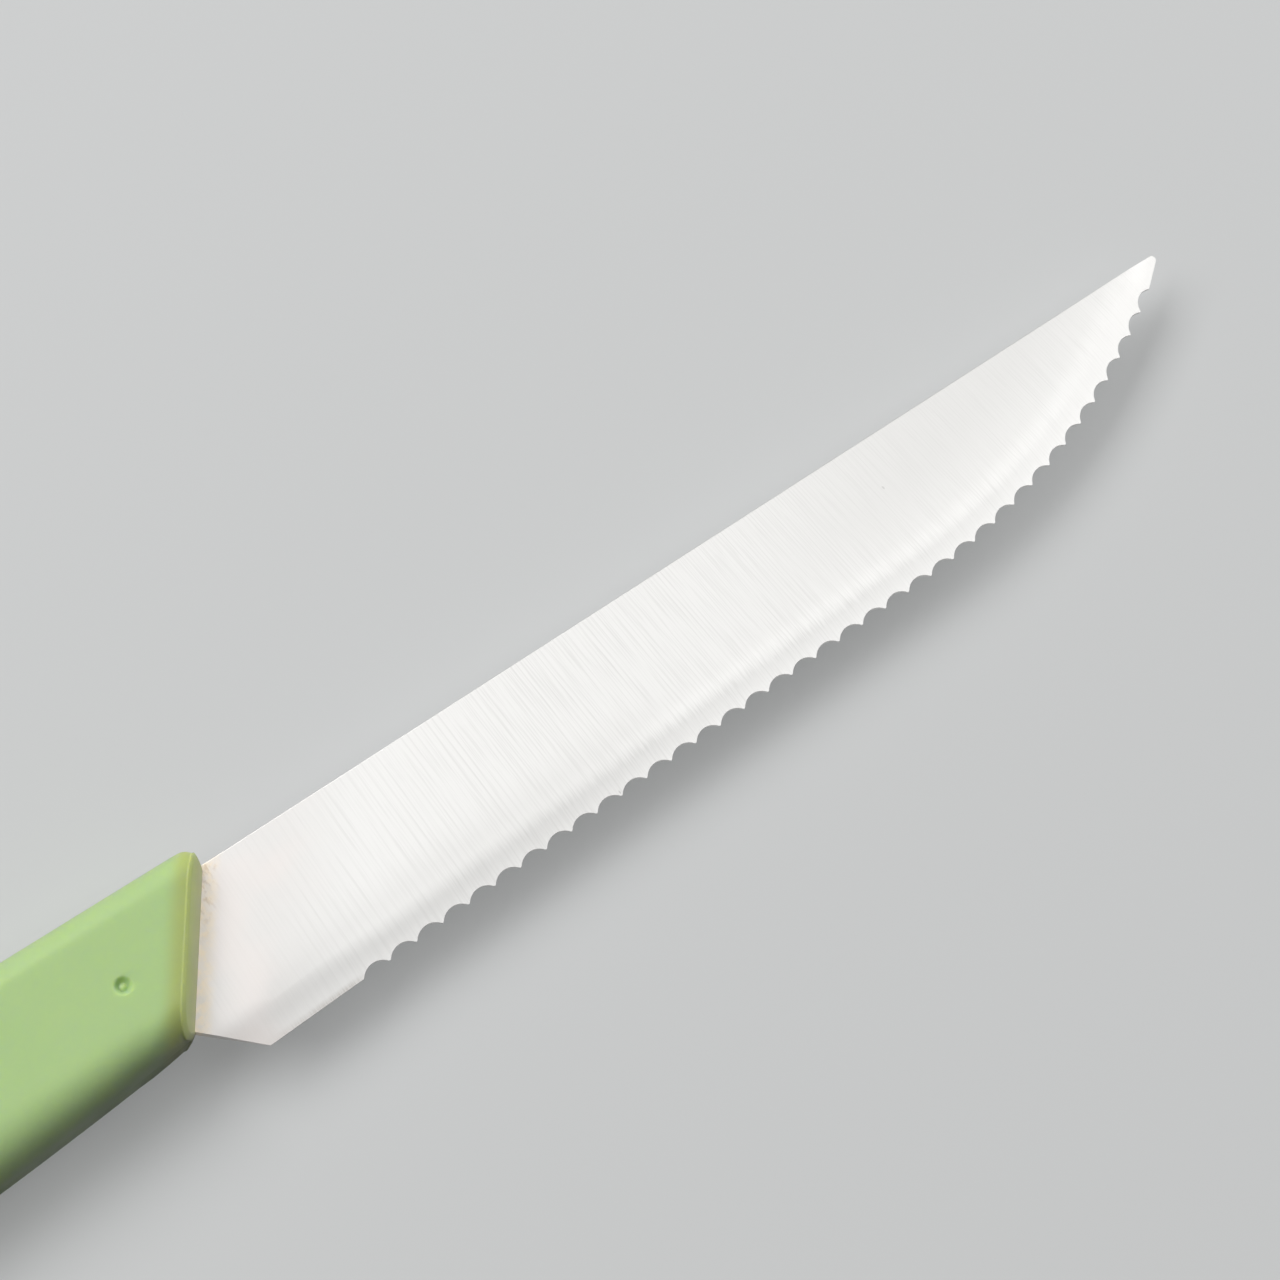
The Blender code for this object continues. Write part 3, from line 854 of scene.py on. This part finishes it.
def section_profile(chord, half, low_radius, high_radius):
    """Half section as (end, distance from that end, height), from the bottom up and over to the top."""
    depth = chord[1].y - chord[0].y
    largest = min(half, LARGEST_ROUNDING * depth)
    low_radius = min(low_radius, largest)
    high_radius = min(high_radius, largest)
    steps = 14
    wall_steps = 4
    flat_steps = 14
    sides = []
    for end, radius in ((0, low_radius), (1, high_radius)):
        wall = half - radius
        seam_depth = SEAM_DEPTH * min(1, wall / SEAM_WIDTH)
        side = [(end, seam_depth, 0.0), (end, 0.0, min(SEAM_WIDTH / 2, wall / wall_steps / 2))]
        side += [(end, 0.0, wall * step / wall_steps) for step in range(1, wall_steps)]
        for step in range(steps + 1):
            turn = math.pi / 2 * step / steps
            side.append((end, radius * (1 - math.cos(turn)), half - radius + radius * math.sin(turn)))
        sides.append(side)
    left = depth - low_radius - high_radius
    flat = [(0, low_radius + left * step / flat_steps, half) for step in range(1, flat_steps)]
    return sides[0] + flat + sides[1][::-1]


def on_chord(chord, end, distance, height):
    """A point of a section, measured square in from one end of its chord."""
    low, high = chord
    along = (high - low) / (high.y - low.y)
    base = low + along * distance if end == 0 else high - along * distance
    return JUNCTION + Vector((base.x, base.y, height))


def quarter_drop(distance, radius):
    """How far a quarter round has fallen away, at a distance from where it ends."""
    left = max(radius - distance, 0)
    return radius - math.sqrt(radius * radius - left * left)


RIM_HALF = HANDLE_THICKNESS / 2 - FRONT_ROLL_RADIUS + math.sqrt(FRONT_ROLL_RADIUS**2 - FRONT_ROLL_RUN**2)
RIM_SETBACK = RIM_HALF * math.tan(FRONT_DRAFT)


def front_sections():
    """From the rim on the drafted front end back to where the sides are flat."""
    rim_steps = 6
    lip_steps = 12
    roll_steps = 16
    lip_end = 2 * LIP_PLACE
    backs = [RIM_RADIUS * (1 - math.cos(math.pi / 2 * step / rim_steps)) for step in range(rim_steps)]
    backs += [RIM_RADIUS + (lip_end - RIM_RADIUS) * step / lip_steps for step in range(lip_steps)]
    backs += [lip_end + (FRONT_ROLL_RUN - lip_end) * step / roll_steps for step in range(roll_steps + 1)]
    sections = []
    for back in backs:
        lip = LIP_HEIGHT * math.exp(-(((back - LIP_PLACE) / LIP_WIDTH) ** 2))
        rounded = quarter_drop(back, RIM_RADIUS) - lip
        left = FRONT_ROLL_RUN - back
        half = HANDLE_THICKNESS / 2 - quarter_drop(FRONT_ROLL_RADIUS - left, FRONT_ROLL_RADIUS)
        section = []
        profile = section_profile(front_chord(back), half - rounded, NECK_ROUNDING, TOP_ROUNDING)
        for end, distance, height in profile:
            drafted = height * math.tan(FRONT_DRAFT)
            share = back / FRONT_ROLL_RUN
            setback = back + drafted + (RIM_SETBACK - drafted) * share
            section.append(on_chord(front_chord(setback), end, distance + rounded, height))
        sections.append(section)
    return sections


def rear_sections():
    """Sections that straighten up towards the butt, which is rounded both ways."""
    low, high = front_chord(RIM_SETBACK + FRONT_ROLL_RUN)
    butt_start = 1 - BUTT_CORNER / HANDLE_LENGTH
    body_steps = 60
    butt_steps = 24
    shares = [butt_start * step / body_steps for step in range(1, body_steps + 1)]
    for step in range(1, butt_steps + 1):
        shares.append(1 - (1 - butt_start) * (1 - math.sin(math.pi / 2 * step / butt_steps)))
    sections = []
    for share in shares:
        low_x = low.x + (-HANDLE_LENGTH - low.x) * share
        high_x = high.x + (-HANDLE_LENGTH - high.x) * share
        to_end = HANDLE_LENGTH * (1 - share)
        corner = quarter_drop(to_end, BUTT_CORNER)
        half = HANDLE_THICKNESS / 2 - quarter_drop(to_end, BUTT_ROUNDING)
        chord = (Vector((low_x, bottom_line(low_x) + corner)), Vector((high_x, top_line(high_x) - corner)))
        bottom_radius = NECK_ROUNDING + (PALM_ROUNDING - NECK_ROUNDING) * palm_share(low_x)
        profile = section_profile(chord, half, bottom_radius, TOP_ROUNDING)
        sections.append([on_chord(chord, end, distance, height) for end, distance, height in profile])
    return sections


def handle_shell():
    """The outside of the handle as one closed skin, both halves of the mould together."""
    builder = bmesh.new()
    rows = [[builder.verts.new(point) for point in section] for section in front_sections() + rear_sections()]
    for row, following in zip(rows, rows[1:]):
        for index in range(len(row) - 1):
            builder.faces.new((row[index], row[index + 1], following[index + 1], following[index]))
    builder.faces.new(rows[0])
    builder.faces.new(rows[-1])
    copied = bmesh.ops.duplicate(builder, geom=builder.verts[:] + builder.edges[:] + builder.faces[:])
    for vertex in [item for item in copied["geom"] if isinstance(item, bmesh.types.BMVert)]:
        vertex.co.z = 2 * JUNCTION.z - vertex.co.z
    bmesh.ops.remove_doubles(builder, verts=builder.verts, dist=WELD_DISTANCE)
    bmesh.ops.recalc_face_normals(builder, faces=builder.faces)
    mesh = bpy.data.meshes.new("moulded_handle")
    builder.to_mesh(mesh)
    builder.free()
    return add_piece("moulded_handle", mesh)


def tang_slot():
    """The space that the steel fills inside the plastic, grown by a hair all round."""
    columns = tang_columns() + choil_columns()
    ahead = 2.0 * MM
    corners = [low for low, _ in columns]
    corners += [Vector((ahead, HEEL.y)), Vector((ahead, 0))]
    corners += [high for _, high in reversed(tang_columns() + choil_columns()[:1])]
    grown = []
    for index, corner in enumerate(corners):
        before = (corner - corners[index - 1]).normalized()
        after = (corners[(index + 1) % len(corners)] - corner).normalized()
        outward = Vector((before.y + after.y, -before.x - after.x))
        grown.append(corner + outward * FIT_GAP / (1 + before.dot(after)))
    reach = BLADE_THICKNESS / 2 + FIT_GAP
    builder = bmesh.new()
    lower = [builder.verts.new(JUNCTION + Vector((x, y, -reach))) for x, y in grown]
    base = builder.faces.new(lower)
    raised = bmesh.ops.extrude_face_region(builder, geom=[base])["geom"]
    top = [item for item in raised if isinstance(item, bmesh.types.BMVert)]
    bmesh.ops.translate(builder, verts=top, vec=(0, 0, 2 * reach))
    bmesh.ops.recalc_face_normals(builder, faces=builder.faces)
    mesh = bpy.data.meshes.new("tang_slot")
    builder.to_mesh(mesh)
    builder.free()
    return add_piece("tang_slot", mesh)


def ring_mark_tool():
    """Turned tool for the sunk mark: a soft lip, a steep wall and a low stub left in the middle."""
    surface = HANDLE_THICKNESS / 2
    # Radius and height over the handle's side, in millimetres
    profile = [
        (0.08, -0.36),
        (0.16, -0.38),
        (0.23, -0.45),
        (0.31, -0.54),
        (0.40, -0.57),
        (0.49, -0.52),
        (0.58, -0.40),
        (0.66, -0.26),
        (0.73, -0.14),
        (0.80, -0.06),
        (0.88, -0.01),
        (0.96, 0.02),
        (0.96, 0.60),
    ]
    builder = bmesh.new()
    rings = []
    for radius, height in profile:
        ring = []
        for step in range(ROUND_STEPS):
            turn = 2 * math.pi * step / ROUND_STEPS
            x = radius * MM * math.cos(turn) - DIMPLE_SETBACK
            y = radius * MM * math.sin(turn) - DIMPLE_DROP
            ring.append(builder.verts.new(JUNCTION + Vector((x, y, surface + height * MM))))
        rings.append(ring)
    for ring, following in zip(rings, rings[1:]):
        for step in range(ROUND_STEPS):
            after = (step + 1) % ROUND_STEPS
            builder.faces.new((ring[step], ring[after], following[after], following[step]))
    builder.faces.new(rings[0])
    builder.faces.new(rings[-1])
    bmesh.ops.recalc_face_normals(builder, faces=builder.faces)
    mesh = bpy.data.meshes.new("ring_mark_tool")
    builder.to_mesh(mesh)
    builder.free()
    return add_piece("ring_mark_tool", mesh)


PLASTIC = "#BBD799"
PLASTIC_DEEP = "#B3D18E"
PLASTIC_OLIVE_SHADE = "#BCC06A"
PLASTIC_GREY_REFLECTION = "#B4B19C"
PLASTIC_RIM_HIGHLIGHT = "#DDE2A8"


def moulded_polypropylene():
    """Polypropylene from a polished mould: an even light green with a soft, slightly waxy sheen."""
    material = new_material("moulded_polypropylene")
    tree = material.node_tree
    place = add_node(tree, "ShaderNodeTexCoord").outputs["Object"]

    # Noise in round patches, each with its width in millimetres and its detail
    noises = {}
    for name, width, detail in (("shade", 9.0, 2.0), ("grain", 0.5, 3.0), ("sheen", 3.0, 4.0)):
        inputs = {"Vector": place, "Scale": 1 / (width * MM), "Detail": detail, "Roughness": 0.55}
        noises[name] = add_node(tree, "ShaderNodeTexNoise", inputs).outputs[0]

    # Towards its front end the plastic has painted shade, olive, where the sides roll away, a painted grey
    # reflection of the steel on the front end and a painted highlight on the bead
    front = add_node(tree, "ShaderNodeAttribute", attribute_name="from_front").outputs["Fac"]
    rim = RIM_SETBACK / MM
    layers = (
        (PLASTIC_DEEP, (noises["shade"], 0.3, 0.7, 0.0, 0.22)),
        (PLASTIC_OLIVE_SHADE, (front, 1.6, 3.4, 0.6, 0.0)),
        (PLASTIC_GREY_REFLECTION, (front, 0.2, 1.0, 0.45, 0.0)),
        (PLASTIC_RIM_HIGHLIGHT, (front, rim - 0.1, rim + 0.1, 0.0, 0.15), (front, rim + 0.2, rim + 0.5, 1.0, 0.0)),
    )
    colour = linear(PLASTIC)
    for tint, *limits in layers:
        colour = laid_over(tree, colour, tint, limits)

    roughness = add_node(
        tree,
        "ShaderNodeMapRange",
        {"Value": noises["sheen"], "From Min": 0.3, "From Max": 0.7, "To Min": 0.38, "To Max": 0.48},
        interpolation_type="SMOOTHSTEP",
    )
    bump = add_node(
        tree,
        "ShaderNodeBump",
        {"Height": noises["grain"], "Strength": 0.25, "Distance": 0.01 * MM},
    )
    shader = add_node(
        tree,
        "ShaderNodeBsdfPrincipled",
        {
            "Base Color": colour,
            "Roughness": roughness.outputs[0],
            "IOR": 1.49,
            "Subsurface Weight": 1.0,
            "Subsurface Radius": (1.0, 1.0, 0.2),
            "Subsurface Scale": 0.9 * MM,
            "Specular IOR Level": 0.3,
            "Normal": bump.outputs[0],
        },
    )
    add_node(tree, "ShaderNodeOutputMaterial", {"Surface": shader.outputs[0]})
    return material


handle = handle_shell()
boolean(handle, tang_slot(), "DIFFERENCE")
peg_reach = HANDLE_THICKNESS / 4
boolean(handle, pillar("pegs", hole_places(), TANG_HOLE_RADIUS - FIT_GAP, -peg_reach, peg_reach), "UNION")
boolean(handle, ring_mark_tool(), "DIFFERENCE")
handle.data.materials.clear()
handle.data.materials.append(moulded_polypropylene())
from_front = [(vertex.co - JUNCTION).to_2d().dot(FRONT_BACK) / MM for vertex in handle.data.vertices]
write_fact(handle.data, "from_front", from_front)
handle.data.shade_smooth()
handle.data.set_sharp_from_angle(angle=HANDLE_CREASE)
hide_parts("handle")
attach(handle, "root")

# The floor: a plain pale grey sheet, wide enough for every view.

FLOOR_GREY = "#ABACAC"
FLOOR_SHADE = "#343535"
FLOOR_GLOW = "#7F8080"  # keeps the floor pale far from the lamps
NO_GLOW = "#000000"
FLOOR_REACH = 6.0
FLOOR_CLEARANCE = 0.02 * MM


def tone_by_ray(tree, shown, thrown):
    """One tone for what the eye and the steel see, and another for the light thrown on the object."""
    ray = add_node(tree, "ShaderNodeLightPath").outputs
    seen = ray["Is Camera Ray"]
    for kind in ("Is Glossy Ray", "Is Transmission Ray"):
        seen = add_node(tree, "ShaderNodeMath", {0: seen, 1: ray[kind]}, operation="MAXIMUM").outputs[0]
    tone = add_node(tree, "ShaderNodeMix", {0: seen, 6: linear(thrown), 7: linear(shown)}, data_type="RGBA")
    return tone.outputs[2]


def matt_paper():
    """Matt paper: an even pale tone with the object's shadow.

    The light that it throws back on the knife is set darker than its own tone.
    """
    material = new_material("matt_paper")
    tree = material.node_tree
    shader = add_node(
        tree,
        "ShaderNodeBsdfPrincipled",
        {
            "Base Color": tone_by_ray(tree, FLOOR_GREY, FLOOR_SHADE),
            "Roughness": 0.9,
            "Emission Color": tone_by_ray(tree, FLOOR_GLOW, NO_GLOW),
            "Emission Strength": 1.0,
        },
    )
    add_node(tree, "ShaderNodeOutputMaterial", {"Surface": shader.outputs[0]})
    return material


floor_mesh = bpy.data.meshes.new("floor")
corners = [(x * FLOOR_REACH, y * FLOOR_REACH) for x, y in ((-1, -1), (1, -1), (1, 1), (-1, 1))]
floor_mesh.from_pydata([(x, y, cad_low.z - FLOOR_CLEARANCE) for x, y in corners], [], [(0, 1, 2, 3)])
floor_mesh.materials.append(matt_paper())
floor = add_piece("floor", floor_mesh)

# The light: a broad soft lamp over the blade, which the steel mirrors, a stronger one from the spine's side
# for the handle, a low one ahead of the point for the handle's front end, and a little light from all round.

middle = (cad_low + cad_high) / 2


def soft_lamp(name, place, width, depth, radiance):
    """Area lamp aimed at the middle of the knife; its radiance is what a mirror would show."""
    data = bpy.data.lights.new(name, "AREA")
    data.shape = "RECTANGLE"
    data.size = width
    data.size_y = depth
    data.energy = radiance * math.pi * width * depth
    lamp = bpy.data.objects.new(name, data)
    lamp.location = place
    lamp.rotation_euler = (Vector(place) - middle).to_track_quat("Z", "Y").to_euler()
    bpy.context.scene.collection.objects.link(lamp)


soft_lamp("top_lamp", (0.46, 0.05, 0.82), width=0.90, depth=0.90, radiance=1.0)
soft_lamp("side_lamp", (-0.30, 0.56, 0.78), width=1.2, depth=0.5, radiance=5.0)
soft_lamp("front_lamp", (1.04, 0.08, 0.28), width=0.5, depth=0.4, radiance=6.2)

BACKDROP_GREY = "#8C8D8D"
ROOM_SHADE = "#2D2D2D"

world = bpy.data.worlds.new("studio")
bpy.context.scene.world = world
world.use_nodes = True
world.node_tree.nodes.clear()
background_tone = tone_by_ray(world.node_tree, BACKDROP_GREY, ROOM_SHADE)
background = add_node(world.node_tree, "ShaderNodeBackground", {"Color": background_tone, "Strength": 1.0})
add_node(world.node_tree, "ShaderNodeOutputWorld", {"Surface": background.outputs[0]})
bpy.context.scene.view_settings.view_transform = "Standard"

# The camera: its place in the photograph, worked out from the even pitch of the scallops. That fixes the
# lens only loosely, and this is one of many that fit about equally well.

CAMERA_PLACE = Vector((-38.05, -60.26, 249.75)) * MM  # from the junction
CAMERA_RIGHT = Vector((0.79572, -0.58967, 0.13828))
CAMERA_UP = Vector((0.51784, 0.78078, 0.34959))
CAMERA_BACK = Vector((-0.31411, -0.20657, 0.92664))
LENS = 78.75
SENSOR = 36.0

camera_data = bpy.data.cameras.new("camera")
camera_data.lens = LENS
camera_data.sensor_width = SENSOR
camera_data.clip_start = 0.01
camera = bpy.data.objects.new("camera", camera_data)
turn = Matrix((CAMERA_RIGHT, CAMERA_UP, CAMERA_BACK)).transposed()
camera.matrix_world = Matrix.Translation(JUNCTION + CAMERA_PLACE) @ turn.to_4x4()
bpy.context.scene.collection.objects.link(camera)
bpy.context.scene.camera = camera
